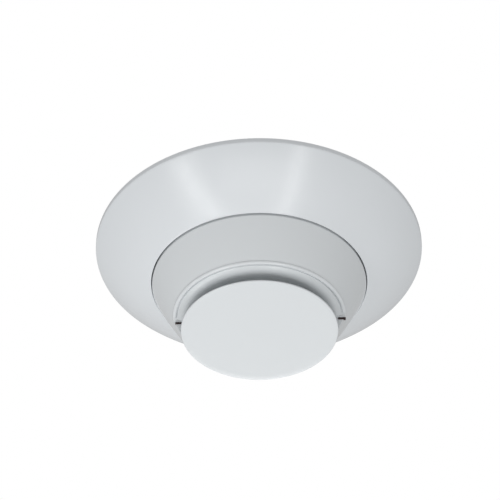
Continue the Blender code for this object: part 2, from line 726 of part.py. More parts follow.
def cheek_span(side):
    """(angle of the cheek's end wall, +1 or -1 for the way into the cheek) on the left or right side."""
    return (INLET_ANGLES[0], -1) if side == "left" else (INLET_ANGLES[1] - 360, 1)


def make_lamp(side, parent):
    """The indicator lamp on the board above one light guide."""
    end, way = cheek_span(side)
    place = spot(sum(GUIDE_RISER) / 2, end + way * (GUIDE_DEPTH + GUIDE_RISER_ANGLE) / 2)
    dome = LAMP_RADIUS
    angles = [math.radians(22.5 * i) for i in range(5)]
    profile = [(0, PARTS_Z), (dome, PARTS_Z)]
    profile += [(dome * math.cos(a), LAMP_TIP_Z + dome - dome * math.sin(a)) for a in angles[:-1]]
    profile += [(0, LAMP_TIP_Z)]
    lamp = turned(f"lamp_{side}", profile, closed=False)
    lamp.modifiers["turn"].steps = 16
    lamp.modifiers["turn"].render_steps = 16
    lamp.location = (*place, 0)
    piece(lamp, f"led_{side}", "smoked_lens", parent)


def make_light_guide(side, parent):
    """A riser under the lamp and a foot that ends in a window in the cheek's end wall."""
    end, way = cheek_span(side)
    far = end + way * GUIDE_DEPTH
    near = end + way * GUIDE_RISER_ANGLE
    riser = sector(f"riser_{side}", *GUIDE_RISER, far, near, GUIDE_FOOT_BOTTOM_Z, GUIDE_TOP_Z)
    foot = sector(
        f"foot_{side}",
        *GUIDE_FOOT,
        far - way * GUIDE_STEP,
        end + way * GUIDE_SETBACK,
        GUIDE_FOOT_BOTTOM_Z + FACE_STEP,
        GUIDE_FOOT_TOP_Z,
    )
    combine(riser, foot, "UNION")
    piece(riser, f"light_guide_{side}", "smoked_lens", parent)


def cover_profile():
    """The cover's outline: collar, cone, lip, solid ring down to the disc, shelf and inner cone."""
    lip = (LIP_RADIUS, LIP_Z)
    foot_z = CAP_TOP_Z + GAP
    wall = COVER_RADIUS - COVER_INNER_RADIUS
    return [
        (COVER_RADIUS, COVER_TOP_Z),
        (COVER_RADIUS, SHOULDER_Z),
        (SHOULDER_RADIUS, SHOULDER_Z),
        *bulged((SHOULDER_RADIUS, SHOULDER_Z - SHOULDER_HEIGHT), lip, CONE_BULGE, 3),
        (LIP_RADIUS - LIP_CHAMFER, SHELF_Z + LIP_CHAMFER),
        (CAP_RADIUS + GAP, foot_z),
        (SHELF_INNER_RADIUS, foot_z),
        (SHELF_INNER_RADIUS, SHELF_TOP_Z),
        (LIP_RADIUS - wall, SHELF_TOP_Z),
        (COVER_INNER_RADIUS, COVER_INNER_EDGE_Z),
        (COVER_INNER_RADIUS, COVER_TOP_Z),
    ]


def make_cover(parent):
    """The front cover: the air inlet is cut round its front and back, which leaves two cheeks."""
    cover = turned("head_cover", cover_profile())
    inlets = []
    for name, (start, end) in (("front", INLET_ANGLES), ("rear", REAR_INLET_ANGLES)):
        inlets.append(sector(f"inlet_{name}", *INLET_REACH, start, end, CAP_BOTTOM_Z, SHELF_Z))
    combine(cover, together("inlets", inlets), "DIFFERENCE")

    pockets = []
    for side in ("left", "right"):
        end, way = cheek_span(side)
        rear_end = REAR_INLET_ANGLES[1] if side == "left" else REAR_INLET_ANGLES[0]
        start, stop = end + way * CHEEK_WALL, rear_end - way * CHEEK_WALL
        pockets.append(sector(f"pocket_{side}", *CHEEK_POCKET, start, stop, POCKET_BOTTOM_Z, POCKET_TOP_Z))
    combine(cover, together("pockets", pockets), "DIFFERENCE")

    windows = []
    for side in ("left", "right"):
        end, way = cheek_span(side)
        windows.append(
            sector(
                f"window_{side}",
                GUIDE_FOOT[0] - GAP,
                GUIDE_FOOT[1] + GAP,
                end + way * (GUIDE_DEPTH + GUIDE_ROOM),
                end - way * WINDOW_PAST,
                GUIDE_FOOT_BOTTOM_Z - GAP,
                GUIDE_FOOT_TOP_Z + GAP,
            )
        )
    combine(cover, together("windows", windows), "DIFFERENCE")
    piece(cover, "head_cover", "cover_plastic", parent)


def make_front_cap(parent):
    """The thin disc in front, with an edge that tapers back to its rim."""
    profile = [
        (0, CAP_TOP_Z),
        (CAP_RADIUS - CAP_TAPER, CAP_TOP_Z),
        (CAP_RADIUS, CAP_TOP_Z - CAP_EDGE),
        (CAP_RADIUS, CAP_BOTTOM_Z + CAP_EDGE),
        (CAP_RADIUS - CAP_EDGE, CAP_BOTTOM_Z),
        (0, CAP_BOTTOM_Z),
    ]
    piece(turned("front_cap", profile, closed=False), "front_cap", "cover_plastic", parent)


def make_vent_cage(parent):
    """The neck round the thermistor: a flanged sleeve with windows between upright ribs."""
    foot_z = CAP_TOP_Z + GAP
    profile = [
        (CAGE_INNER_RADIUS, CAGE_TOP_Z),
        (CAGE_FLANGE_RADIUS, CAGE_TOP_Z),
        (CAGE_FLANGE_RADIUS, SHELF_TOP_Z + GAP),
        (CAGE_RADIUS, SHELF_TOP_Z + GAP),
        (CAGE_RADIUS, foot_z),
        (CAGE_INNER_RADIUS, foot_z),
    ]
    cage = turned("cage", profile)
    windows = []
    height = CAGE_WINDOW_TOP_Z - CAGE_WINDOW_BOTTOM_Z
    for index in range(CAGE_WINDOWS):
        angle = 360 * (index + 0.5) / CAGE_WINDOWS
        middle = (*spot(CAGE_RADIUS, angle), (CAGE_WINDOW_TOP_Z + CAGE_WINDOW_BOTTOM_Z) / 2)
        size = (CAGE_WINDOW_DEPTH, CAGE_WINDOW_WIDTH, height)
        windows.append(block(f"window_{index}", size, middle, angle))
    combine(cage, together("cage_windows", windows), "DIFFERENCE")
    piece(cage, "vent_cage", "cover_plastic", parent)


materials = {name: make_material(name) for name in MATERIALS}
base_body = body("base_body")
head_body = body("head_body")
cover_body = body("cover_body")
head_body.parent = base_body
cover_body.parent = head_body

make_base(base_body)
for terminal_number, terminal_angle in enumerate(TERMINAL_ANGLES, 1):
    make_terminal(terminal_number, terminal_angle, base_body)
    make_blade(terminal_number, terminal_angle, head_body)
make_tamper_lever(base_body)

make_chassis(head_body)
make_board(head_body)
for dial_name in DIAL_CENTRES:
    make_address_switch(dial_name, head_body, head_body)
make_thermistor(head_body)

make_cover(cover_body)
make_front_cap(cover_body)
make_vent_cage(cover_body)
for guide_side in ("left", "right"):
    make_lamp(guide_side, head_body)
    make_light_guide(guide_side, cover_body)
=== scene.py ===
"""Looks of the heat detector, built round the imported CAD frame.

Metres, +Z up. The ceiling is z = 0, the detector hangs below it and the inlet's open side faces -Y.
Sections are lists of (radius, z) and angles are in degrees round the Z axis.
"""

import math

import bmesh
import bpy
import numpy as np
from mathutils import Matrix, Vector


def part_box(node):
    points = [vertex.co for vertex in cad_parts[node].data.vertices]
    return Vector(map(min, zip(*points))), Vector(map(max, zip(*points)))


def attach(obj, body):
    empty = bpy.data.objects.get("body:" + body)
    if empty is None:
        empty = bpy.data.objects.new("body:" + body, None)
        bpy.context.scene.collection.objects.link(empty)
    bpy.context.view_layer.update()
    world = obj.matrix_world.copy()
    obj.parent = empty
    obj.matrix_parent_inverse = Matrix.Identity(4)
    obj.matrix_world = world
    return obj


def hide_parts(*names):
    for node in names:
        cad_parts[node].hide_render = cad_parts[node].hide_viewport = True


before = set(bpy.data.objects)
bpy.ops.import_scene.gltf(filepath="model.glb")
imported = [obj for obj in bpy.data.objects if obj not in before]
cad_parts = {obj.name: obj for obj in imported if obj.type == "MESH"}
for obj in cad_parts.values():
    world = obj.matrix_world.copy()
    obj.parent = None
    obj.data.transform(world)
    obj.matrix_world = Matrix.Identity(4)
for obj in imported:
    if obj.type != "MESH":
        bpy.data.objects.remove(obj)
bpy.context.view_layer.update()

# Degrees between the columns of a turned shape, steps in a fillet and degrees at a crease.
FINE_STEP = 1.5
ARC_STEPS = 6
CREASE = 35
# Points closer than these become one: in skinned shapes, slabs, numerals and CAD nodes.
WELD = 0.000004
SLAB_WELD = 0.000005
NUMERAL_WELD = 0.000002
NODE_WELD = 0.00001

# Sizes that the frame's boxes give.
BASE_LOW, BASE_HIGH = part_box("mounting_base")
COVER_LOW, COVER_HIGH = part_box("head_cover")
CAP_LOW, CAP_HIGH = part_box("front_cap")
CAGE_LOW, CAGE_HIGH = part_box("vent_cage")

# Base moulding.
FLANGE_RADIUS = BASE_HIGH.x
SEAM_Z = BASE_LOW.z
RIM_Z = -0.0026
SOCKET_RADIUS = 0.0508
BASE_WALL = 0.0020
PLATE_Z = -0.0024
PLATE_SET_BACK = 0.00012
PLATE_EDGE = 0.0003
PLATE_POINTS = 120
WIRING_RADIUS = 0.0270
WIRING_POINTS = 96
FLARE_BULGE = 0.00140
FLARE_POINTS = 18
HOLLOW_POINTS = 6
BASE_FILLETS = {
    "inner_rim": 0.0004,
    "back": 0.0005,
    "rim": 0.0011,
    "foot": 0.0003,
    "collar": 0.0002,
    "hollow": 0.0006,
}
RIB_COUNT = 12
RIB_WIDTH = 0.0016
RIB_SINK = 0.0008
RIB_EDGE = 0.0002
SLOT_RADIUS = 0.0025
SLOT_STEP = 15
SLOT_REACH = {0: (0.0340, 0.0440), 180: (0.0340, 0.0440), 90: (0.0310, 0.0370), 270: (0.0310, 0.0370)}
LUG_ANGLES = (60, 180, 300)
LEDGE = {
    "radius": 0.0469,
    "low": -0.0158,
    "high": -0.0142,
    "start": -9.0,
    "end": 10.4,
    "edge": 0.00025,
}
STOP = {"radius": 0.0473, "high": -0.0110, "start": 8.6, "end": 10.2, "sink": 0.0008, "edge": 0.0002}
TERMINAL_ANGLES = (45, 135, 225, 315)
TERMINAL_RADIUS = 0.0400
PEDESTAL = {"half": 0.0031, "low": -0.0061, "start": -4.0, "end": 23.0, "edge": 0.0003}
SCREW_STEP = 15.0
SCREW_HOLE_RADIUS = 0.0019
SCREW_HOLE_POINTS = 20
LEVER_ROOT = {"inner": 0.0476, "low": -0.0070, "start": 146.0, "end": 149.6, "edge": 0.0003}

# Cover: cone, bead, shelf and cheeks.
SHOULDER_RADIUS = COVER_HIGH.x
SHOULDER_Z = SEAM_Z - 0.00030
CONE_TOP_Z = SHOULDER_Z - 0.00040
COVER_RADIUS = SHOULDER_RADIUS - 0.00020
COVER_TOP = COVER_HIGH.z
COVER_INNER_RADIUS = COVER_RADIUS - 0.0026
COVER_CREASE = 40
COLLAR_RETURN = 0.0010
COLLAR_FILLET = 0.0003
SHOULDER_FILLET = 0.0001
CONE_BULGE = 0.0002
CONE_POINTS = 8
INNER_CONE_Z = CONE_TOP_Z - 0.0022
LIP_RADIUS = 0.04025
LIP_Z = -0.0412
INNER_LIP_RADIUS = LIP_RADIUS - 0.0021
SHELF_Z = -0.0421
SHELF_TOP_Z = -0.0403
SHELF_INNER_RADIUS = CAGE_HIGH.x - 0.0025
BEAD_RADIUS = 0.00105
BEAD_CENTRE = (0.03940, -0.04145)
BEAD_POINTS = 15
# Degrees up from the horizontal where the bead's arc starts, and the degrees it covers.
BEAD_START = 14
BEAD_SWEEP = 152
# How far up the cone the bead's section starts, and where its foot is from the lip.
BEAD_RUN_IN = 0.00045
BEAD_FOOT = (0.00002, 0.00010)
LINE_RADIUS = 0.03850
LINE_Z = SHELF_Z + 0.00045
SHELF_OUTER_RADIUS = LINE_RADIUS - 0.00018
# Where the lip has no bead: its top end, and its corner with a fillet.
PLAIN_LIP_TOP = (LIP_RADIUS + 0.00022, LIP_Z + 0.0004)
PLAIN_LIP_CORNER = (LIP_RADIUS - 0.00030, SHELF_Z, 0.0005)
# The rolled shelf: each point's radius and its rise above SHELF_Z.
ROLL = (
    (0.03815, -0.00020),
    (0.03770, -0.00045),
    (0.03700, -0.00078),
    (0.03620, -0.00105),
    (0.03530, -0.00122),
    (0.03430, -0.00122),
    (0.03320, -0.00100),
    (0.03200, -0.00060),
    (0.03050, 0.00000),
    (0.02850, 0.00050),
)
CHEEK_FOOT = (CAP_HIGH.x + 0.00015, COVER_LOW.z)
POCKET = {"inner": 0.0295, "outer": 0.0362, "lean": 0.0004, "z": -0.0475, "wall": 2.8, "ramp": 0.2}
FRONT_INLET = (177.3, 358.9)
REAR_INLET = (37.4, 137.2)
# Degrees: half of an end wall's turn, and how far from it the bead and the roll fade in.
END_WALL_HALF = 0.40
BEAD_FADE = (3.3, 4.3)
ROLL_FADE = (0.8, 3.0)
# Close columns at an inlet's end: degrees to each side and how many. Closer ones than the gap go.
WALL_COLUMNS = (0.5, 17)
FADE_COLUMNS = (3.4, 24)
COLUMN_GAP = 0.02

# Disc: its edge, and its crown as shares of the radius and rises above the lowest point.
CAP_EDGE = {"back": 0.0008, "rim": 0.0004, "front": 0.00012}
CAP_FILLET = 0.0003
CAP_FRONT_FILLET = 0.00045
CAP_CROWN = ((0.9, 0.00003), (0.6, 0.00001))
AXIS_GAP = 0.00001

# Neck: radii inside the shelf's, heights of its collar and hoop, and its ribs.
CAGE_OUTER = SHELF_INNER_RADIUS - 0.0006
CAGE_INNER = SHELF_INNER_RADIUS - 0.0026
CAGE_FLANGE_HEIGHT = 0.0012
CAGE_COLLAR_HEIGHT = 0.0036
CAGE_HOOP_HEIGHT = 0.0014
CAGE_FILLETS = (0.0002, 0.0003)
CAGE_RIBS = 16
CAGE_RIB = {"half": 3.6, "low": 0.0010, "high": 0.0030, "edge": 0.0004}

# Light guides: side, the inlet's end, which way its cheek lies, and the window's outer radius.
GUIDE_ENDS = (("left", FRONT_INLET[0], -1, 0.0393), ("right", FRONT_INLET[1] - 360, 1, 0.0401))
GUIDE_EDGE = 0.0003
GUIDE_RISER = {"inner": 0.0336, "outer": 0.0358, "from": 6.4, "to": 3.6, "rise": 0.0002}
GUIDE_BAR = {"inner": 0.0350, "outer": 0.0376, "from": 6.2, "to": 0.2, "rise": 0.0001, "high": -0.0427}
WINDOW = {"inner": 0.0364, "from": 1.2, "to": -0.75, "low": -0.0438, "high": -0.0425, "edge": 0.0005}


# ---------------------------------------------------------------- shapes


def new_object(name, mesh):
    """An object in the scene from a mesh."""
    made = bpy.data.objects.new(name, mesh)
    bpy.context.scene.collection.objects.link(made)
    return made


def mesh_from(name, shape, sharp=CREASE):
    """A smooth mesh with sharp creases from a bmesh, which is freed."""
    bmesh.ops.recalc_face_normals(shape, faces=shape.faces)
    mesh = bpy.data.meshes.new(name)
    shape.to_mesh(mesh)
    shape.free()
    mesh.shade_smooth()
    mesh.set_sharp_from_angle(angle=math.radians(sharp))
    return mesh


def grid_shape(columns, closed_profile=True):
    """A bmesh skinned all round over columns of points, each column a section at one angle."""
    shape = bmesh.new()
    rows = [[shape.verts.new(point) for point in column] for column in columns]
    count = len(rows[0])
    last_point = count if closed_profile else count - 1
    for i, near in enumerate(rows):
        far = rows[(i + 1) % len(rows)]
        for k in range(last_point):
            after = (k + 1) % count
            shape.faces.new((near[k], near[after], far[after], far[k]))
    bmesh.ops.remove_doubles(shape, verts=shape.verts, dist=WELD)
    bmesh.ops.dissolve_degenerate(shape, edges=shape.edges, dist=WELD)
    return shape


def at_angle(section, degrees):
    """The (radius, z) points of a section, stood up at an angle round Z."""
    c, s = math.cos(math.radians(degrees)), math.sin(math.radians(degrees))
    return [(radius * c, radius * s, z) for radius, z in section]


def lathe(name, section, closed=True):
    """A shape turned about Z from a section."""
    angles = np.arange(0, 360, FINE_STEP)
    shape = grid_shape([at_angle(section, a) for a in angles], closed)
    return mesh_from(name, shape)


def rounded(corners, closed=True, steps=ARC_STEPS):
    """Points along a polygon of (radius, z, fillet) corners; a fillet turns a corner to an arc."""
    points = []
    count = len(corners)
    for i, (x, y, fillet) in enumerate(corners):
        at_end = not closed and i in (0, count - 1)
        if at_end or not fillet:
            points.append((x, y))
            continue
        here = Vector((x, y))
        before = (Vector(corners[i - 1][:2]) - here).normalized()
        after = (Vector(corners[(i + 1) % count][:2]) - here).normalized()
        half = before.angle(after) / 2
        reach = fillet / math.tan(half)
        centre = here + (before + after).normalized() * (fillet / math.sin(half))
        start = here + before * reach - centre
        end = here + after * reach - centre
        turn = start.angle_signed(end)
        for k in range(steps + 1):
            spoke = start.copy()
            spoke.rotate(Matrix.Rotation(-turn * k / steps, 2))
            points.append(tuple(centre + spoke))
    return points


def bulged(start, end, bulge, count):
    """Points between two points along a curve that bows outwards, both ends left out."""
    along = Vector(end) - Vector(start)
    outward = Vector((-along.y, along.x)).normalized()
    if outward.x < 0:
        outward = -outward
    steps = [i / (count + 1) for i in range(1, count + 1)]
    bows = [outward * bulge * 4 * t * (1 - t) for t in steps]
    return [tuple(Vector(start) + along * t + bow) for t, bow in zip(steps, bows)]


def blend_sections(first, second, weight):
    """A section part of the way from one section to another with as many points."""
    return [
        (a[0] + (b[0] - a[0]) * weight, a[1] + (b[1] - a[1]) * weight) for a, b in zip(first, second)
    ]


def smooth_step(value, low, high):
    """0 below low, 1 above high and a soft ramp between."""
    t = min(1.0, max(0.0, (value - low) / (high - low)))
    return t * t * (3 - 2 * t)


def spot(radius, angle):
    """A place in plan at a radius and an angle in degrees."""
    return (radius * math.cos(math.radians(angle)), radius * math.sin(math.radians(angle)))


def arc(radius, start, end, step=2.0):
    """Points in plan along an arc, both ends included."""
    count = max(1, math.ceil(abs(end - start) / step))
    return [spot(radius, start + (end - start) * i / count) for i in range(count + 1)]


def circle(radius, count, centre=(0, 0)):
    """Points in plan round a circle."""
    ring = [spot(radius, 360 * i / count) for i in range(count)]
    return [(centre[0] + x, centre[1] + y) for x, y in ring]


def slab_shape(outlines, low, high, edge):
    """Outlines in plan, the later ones holes in the first, given thickness and rounded edges."""
    curve = bpy.data.curves.new("slab", "CURVE")
    curve.dimensions = "2D"
    curve.fill_mode = "BOTH"
    curve.extrude = (high - low) / 2 - edge
    curve.bevel_depth = edge
    curve.bevel_resolution = 1
    curve.offset = -edge
    for outline in outlines:
        spline = curve.splines.new("POLY")
        spline.points.add(len(outline) - 1)
        for point, (x, y) in zip(spline.points, outline):
            point.co = (x, y, 0, 1)
        spline.use_cyclic_u = True
    guide = new_object("slab", curve)
    bpy.context.view_layer.update()
    graph = bpy.context.evaluated_depsgraph_get()
    mesh = bpy.data.meshes.new_from_object(guide.evaluated_get(graph))
    shape = bmesh.new()
    shape.from_mesh(mesh)
    bpy.data.objects.remove(guide)
    bpy.data.curves.remove(curve)
    bpy.data.meshes.remove(mesh)
    bmesh.ops.remove_doubles(shape, verts=shape.verts, dist=SLAB_WELD)
    bmesh.ops.translate(shape, verts=shape.verts, vec=(0, 0, (low + high) / 2))
    return shape


def sector_shape(inner, outer, start, end, low, high, edge):
    """A block between two radii, two angles and two heights, with rounded edges."""
    return slab_shape([arc(outer, start, end) + arc(inner, end, start)], low, high, edge)


def gather(shapes):
    """Several bmeshes as one; the others are freed."""
    whole = bmesh.new()
    for shape in shapes:
        mesh = bpy.data.meshes.new("part")
        shape.to_mesh(mesh)
        shape.free()
        whole.from_mesh(mesh)
        bpy.data.meshes.remove(mesh)
    return whole


def shape_of(mesh):
    """A bmesh from a mesh, which is removed."""
    shape = bmesh.new()
    shape.from_mesh(mesh)
    bpy.data.meshes.remove(mesh)
    return shape


# ---------------------------------------------------------------- materials

# Depth of each grain in metres, the plastic's specular level and how long the metal's lines are.
PLASTIC_GRAIN = 0.000003
PLASTIC_SHEEN = 0.5
METAL_GRAIN = 0.000006
METAL_STRETCH = (1, 1, 12)


def blank_material(name):
    """A material with its node tree and its Principled shader."""
    material = bpy.data.materials.new(name)
    material.use_nodes = True
    tree = material.node_tree
    return material, tree, tree.nodes["Principled BSDF"]


def add(tree, kind, settings=None, **inputs):
    """A node; each input is a value or the socket it takes its value from."""
    node = tree.nodes.new(kind)
    for key, value in (settings or {}).items():
        setattr(node, key, value)
    for key, value in inputs.items():
        socket = node.inputs[key.replace("_", " ")]
        if isinstance(value, bpy.types.NodeSocket):
            tree.links.new(value, socket)
        else:
            socket.default_value = value
    return node


def noise(tree, scale, detail=2.0, stretch=None):
    """Noise in the piece's own space, in cells per metre; stretch scales the three axes."""
    place = add(tree, "ShaderNodeTexCoord").outputs["Object"]
    if stretch:
        place = add(tree, "ShaderNodeMapping", Vector=place, Scale=stretch).outputs["Vector"]
    texture = add(tree, "ShaderNodeTexNoise", Vector=place, Scale=scale, Detail=detail)
    return texture.outputs["Fac"]


def ramp(tree, value, stops):
    """Colours by value: stops are (position, colour)."""
    node = add(tree, "ShaderNodeValToRGB", Fac=value)
    elements = node.color_ramp.elements
    while len(elements) < len(stops):
        elements.new(0.5)
    for element, (position, colour) in zip(elements, stops):
        element.position = position
        element.color = (*colour, 1.0)
    return node.outputs["Color"]


def spread(tree, value, low, high, start=0.3, end=0.7):
    """A value moved from one range to another."""
    node = add(
        tree,
        "ShaderNodeMapRange",
        Value=value,
        From_Min=start,
        From_Max=end,
        To_Min=low,
        To_Max=high,
    )
    return node.outputs["Result"]


def shaded(colour, factor):
    """A colour made lighter or darker."""
    return tuple(channel * factor for channel in colour)


def moulded_plastic(name, colour, roughness=0.22, drift=0.004):
    """Injection-moulded plastic: faint cloudiness, a fine spark-eroded grain and uneven gloss."""
    material, tree, shader = blank_material(name)
    cloud = noise(tree, 22, 2)
    stops = [(0.35, shaded(colour, 1 - drift)), (0.65, shaded(colour, 1 + drift))]
    tree.links.new(ramp(tree, cloud, stops), shader.inputs["Base Color"])
    gloss = spread(tree, noise(tree, 260, 2), roughness - 0.03, roughness + 0.03)
    tree.links.new(gloss, shader.inputs["Roughness"])
    height = noise(tree, 2600, 3)
    bump = add(tree, "ShaderNodeBump", Height=height, Strength=0.35, Distance=PLASTIC_GRAIN)
    tree.links.new(bump.outputs["Normal"], shader.inputs["Normal"])
    shader.inputs["Specular IOR Level"].default_value = PLASTIC_SHEEN
    return material


def worked_metal(name, colour, roughness=0.3):
    """Plated or rolled metal: fine drawn lines, tarnish in patches and uneven polish."""
    material, tree, shader = blank_material(name)
    tarnish = noise(tree, 320, 4)
    stops = [(0.3, shaded(colour, 0.72)), (0.6, colour), (0.8, shaded(colour, 1.08))]
    tree.links.new(ramp(tree, tarnish, stops), shader.inputs["Base Color"])
    lines = noise(tree, 1500, 3, METAL_STRETCH)
    polish = spread(tree, lines, roughness - 0.08, roughness + 0.1)
    tree.links.new(polish, shader.inputs["Roughness"])
    bump = add(tree, "ShaderNodeBump", Height=lines, Strength=0.3, Distance=METAL_GRAIN)
    tree.links.new(bump.outputs["Normal"], shader.inputs["Normal"])
    shader.inputs["Metallic"].default_value = 1.0
    return material


def tinted_glass(name, colour, roughness=0.08, clear=0.6):
    """Glass or clear plastic with a deep tint and faint streaks."""
    material, tree, shader = blank_material(name)
    streak = noise(tree, 900, 3)
    stops = [(0.35, shaded(colour, 0.75)), (0.7, shaded(colour, 1.25))]
    tree.links.new(ramp(tree, streak, stops), shader.inputs["Base Color"])
    polish = spread(tree, noise(tree, 1800, 2), roughness, roughness + 0.06)
    tree.links.new(polish, shader.inputs["Roughness"])
    shader.inputs["Transmission Weight"].default_value = clear
    shader.inputs["IOR"].default_value = 1.49
    return material


def board_laminate(name):
    """Green solder mask over copper tracks, with a weave under it."""
    material, tree, shader = blank_material(name)
    place = add(tree, "ShaderNodeTexCoord").outputs["Object"]
    tracks = add(
        tree,
        "ShaderNodeTexBrick",
        {"offset": 0.37, "squash": 0.6, "squash_frequency": 3},
        Vector=place,
        Scale=1.0,
        Mortar_Size=0.00022,
        Brick_Width=0.0073,
        Row_Height=0.0017,
    )
    mask = noise(tree, 300, 3)
    green = ramp(tree, mask, [(0.3, (0.010, 0.105, 0.045)), (0.7, (0.016, 0.150, 0.062))])
    line = ramp(tree, tracks.outputs["Fac"], [(0.2, (0.0, 0.0, 0.0)), (0.8, (0.022, 0.075, 0.028))])
    both = add(tree, "ShaderNodeMixRGB", {"blend_type": "ADD"}, Fac=1.0, Color1=green, Color2=line)
    tree.links.new(both.outputs["Color"], shader.inputs["Base Color"])
    bump = add(tree, "ShaderNodeBump", Height=tracks.outputs["Fac"], Strength=0.6, Distance=0.00004)
    tree.links.new(bump.outputs["Normal"], shader.inputs["Normal"])
    gloss = spread(tree, mask, 0.28, 0.40)
    tree.links.new(gloss, shader.inputs["Roughness"])
    return material


SLOT_MATERIALS = {
    "base_plastic": moulded_plastic("base_plastic", (0.780, 0.806, 0.830)),
    "cover_plastic": moulded_plastic("cover_plastic", (0.770, 0.797, 0.814)),
    "chassis_plastic": moulded_plastic("chassis_plastic", (0.60, 0.61, 0.61), 0.5, 0.02),
    "contact_metal": worked_metal("contact_metal", (0.80, 0.62, 0.30)),
    "screw_steel": worked_metal("screw_steel", (0.66, 0.67, 0.68), 0.28),
    "can_aluminium": worked_metal("can_aluminium", (0.80, 0.81, 0.82), 0.32),
    "board_laminate": board_laminate("board_laminate"),
    "dark_plastic": moulded_plastic("dark_plastic", (0.022, 0.022, 0.024), 0.42, 0.12),
    "dial_plastic": moulded_plastic("dial_plastic", (0.78, 0.27, 0.03), 0.40, 0.03),
    "component_glass": tinted_glass("component_glass", (0.30, 0.05, 0.02)),
    "smoked_lens": tinted_glass("smoked_lens", (0.035, 0.012, 0.012), 0.10, 0.25),
}


def finish_piece(made, slot_name, body, *nodes):
    """Gives a piece its slot's material, sets it riding and lets it stand for its CAD nodes."""
    made.data.materials.clear()
    made.data.materials.append(SLOT_MATERIALS[slot_name])
    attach(made, body)
    if nodes:
        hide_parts(*nodes)


# ---------------------------------------------------------------- base


def flare_inside(radius):
    """The height of the flared ring's inner surface at a radius."""
    slope = (RIM_Z - SEAM_Z) / (FLANGE_RADIUS - SOCKET_RADIUS)
    return SEAM_Z + slope * (radius - SOCKET_RADIUS) + BASE_WALL * math.hypot(1, slope)


def base_ring():
    """The flared ring with its rim and collar, hollow at the back."""
    inner_foot = SOCKET_RADIUS + BASE_WALL
    inner_rim = FLANGE_RADIUS - BASE_WALL
    rim = (FLANGE_RADIUS, RIM_Z)
    foot = (SOCKET_RADIUS, SEAM_Z)
    back_foot = (inner_foot, flare_inside(inner_foot))
    back_rim = (inner_rim, flare_inside(inner_rim))
    fillet = BASE_FILLETS
    corners = [(inner_rim, 0, fillet["inner_rim"]), (FLANGE_RADIUS, 0, fillet["back"])]
    corners += [(*rim, fillet["rim"])]
    corners += [(*point, 0) for point in bulged(rim, foot, FLARE_BULGE, FLARE_POINTS)]
    corners += [(*foot, fillet["foot"]), (SOCKET_RADIUS, 0, fillet["collar"])]
    corners += [(inner_foot, 0, fillet["collar"]), (*back_foot, fillet["hollow"])]
    corners += [(*point, 0) for point in bulged(back_foot, back_rim, FLARE_BULGE / 2, HOLLOW_POINTS)]
    corners += [(*back_rim, fillet["hollow"])]
    return shape_of(lathe("base_ring", rounded(corners)))


def base_rib(index):
    """A radial rib behind the flared ring."""
    inner = SOCKET_RADIUS + BASE_WALL / 2
    outer = FLANGE_RADIUS - BASE_WALL / 2
    outline = [
        (inner, -RIB_SINK),
        (outer, -RIB_SINK),
        (outer, flare_inside(outer) - RIB_SINK),
        (inner, flare_inside(inner) - RIB_SINK),
    ]
    rib = slab_shape([outline], -RIB_WIDTH / 2, RIB_WIDTH / 2, RIB_EDGE)
    upright = Matrix.Rotation(math.radians(90), 4, "X")
    turn = Matrix.Rotation(2 * math.pi * (index + 0.5) / RIB_COUNT, 4, "Z")
    bmesh.ops.transform(rib, matrix=turn @ upright, verts=rib.verts)
    return rib


def slot_outline(angle):
    """The outline of a slot for one of the screws into the ceiling box."""
    start, end = SLOT_REACH[angle]
    outline = [(end + x, y) for x, y in arc(SLOT_RADIUS, -90, 90, SLOT_STEP)]
    outline += [(start + x, y) for x, y in arc(SLOT_RADIUS, 90, 270, SLOT_STEP)]
    c, s = math.cos(math.radians(angle)), math.sin(math.radians(angle))
    return [(x * c - y * s, x * s + y * c) for x, y in outline]


def base_plate():
    """The plate on the ceiling with its wiring opening and screw slots."""
    rim = circle(SOCKET_RADIUS + BASE_WALL / 2, PLATE_POINTS)
    outlines = [rim, circle(WIRING_RADIUS, WIRING_POINTS)]
    outlines += [slot_outline(angle) for angle in SLOT_REACH]
    return slab_shape(outlines, PLATE_Z, -PLATE_SET_BACK, PLATE_EDGE)


def base_fittings():
    """Bayonet ledges with their stops, terminal pedestals and the tamper lever's root."""
    wall = SOCKET_RADIUS + BASE_WALL / 2
    made = []
    for angle in LUG_ANGLES:
        start, end = angle + LEDGE["start"], angle + LEDGE["end"]
        heights = LEDGE["low"], LEDGE["high"]
        made.append(sector_shape(LEDGE["radius"], wall, start, end, *heights, LEDGE["edge"]))
        start, end = angle + STOP["start"], angle + STOP["end"]
        heights = LEDGE["high"] - STOP["sink"], STOP["high"]
        made.append(sector_shape(STOP["radius"], wall, start, end, *heights, STOP["edge"]))
    for angle in TERMINAL_ANGLES:
        inner, outer = TERMINAL_RADIUS - PEDESTAL["half"], TERMINAL_RADIUS + PEDESTAL["half"]
        start, end = angle + PEDESTAL["start"], angle + PEDESTAL["end"]
        outline = arc(outer, start, end) + arc(inner, end, start)
        screw = spot(TERMINAL_RADIUS, angle + SCREW_STEP)
        hole = circle(SCREW_HOLE_RADIUS, SCREW_HOLE_POINTS, screw)
        made.append(slab_shape([outline, hole], PEDESTAL["low"], PLATE_Z / 2, PEDESTAL["edge"]))
    root = LEVER_ROOT
    heights = root["low"], PLATE_Z / 2
    made.append(sector_shape(root["inner"], wall, root["start"], root["end"], *heights, root["edge"]))
    return made


def make_base():
    """The mounting base as one moulding."""
    shapes = [base_ring(), base_plate(), *base_fittings()]
    shapes += [base_rib(index) for index in range(RIB_COUNT)]
    made = new_object("base_moulding", mesh_from("base_moulding", gather(shapes)))
    finish_piece(made, "base_plastic", "base", "mounting_base")


# ---------------------------------------------------------------- cover


